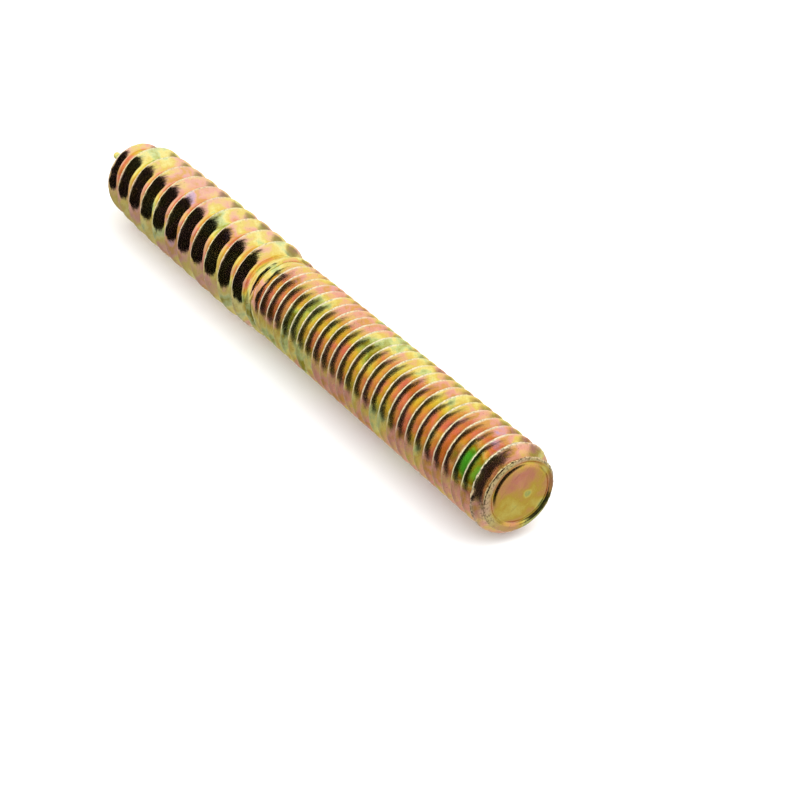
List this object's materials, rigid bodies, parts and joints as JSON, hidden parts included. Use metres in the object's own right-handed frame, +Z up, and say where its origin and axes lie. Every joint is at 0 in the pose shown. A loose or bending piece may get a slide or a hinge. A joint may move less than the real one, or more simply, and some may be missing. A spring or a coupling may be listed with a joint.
{
  "type": "hanger bolt",
  "caption": "Headless screw with a machine thread and a lipped end on one half, and a coarse wood thread with a gimlet point on the other.",
  "frame": {"origin": "under the middle of the bolt's length, on the surface that its wood thread lies on", "axes": "+X along the bolt's axis, from the wood point to the machine end; +Z up"},
  "size_m": [0.0762, 0.0086, 0.0086],
  "materials": {
    "zinc": "glossy yellow zinc plating with pink and green interference tints"
  },
  "bodies": {
    "root": {"hanger_bolt": "zinc"}
  },
  "joints": []
}
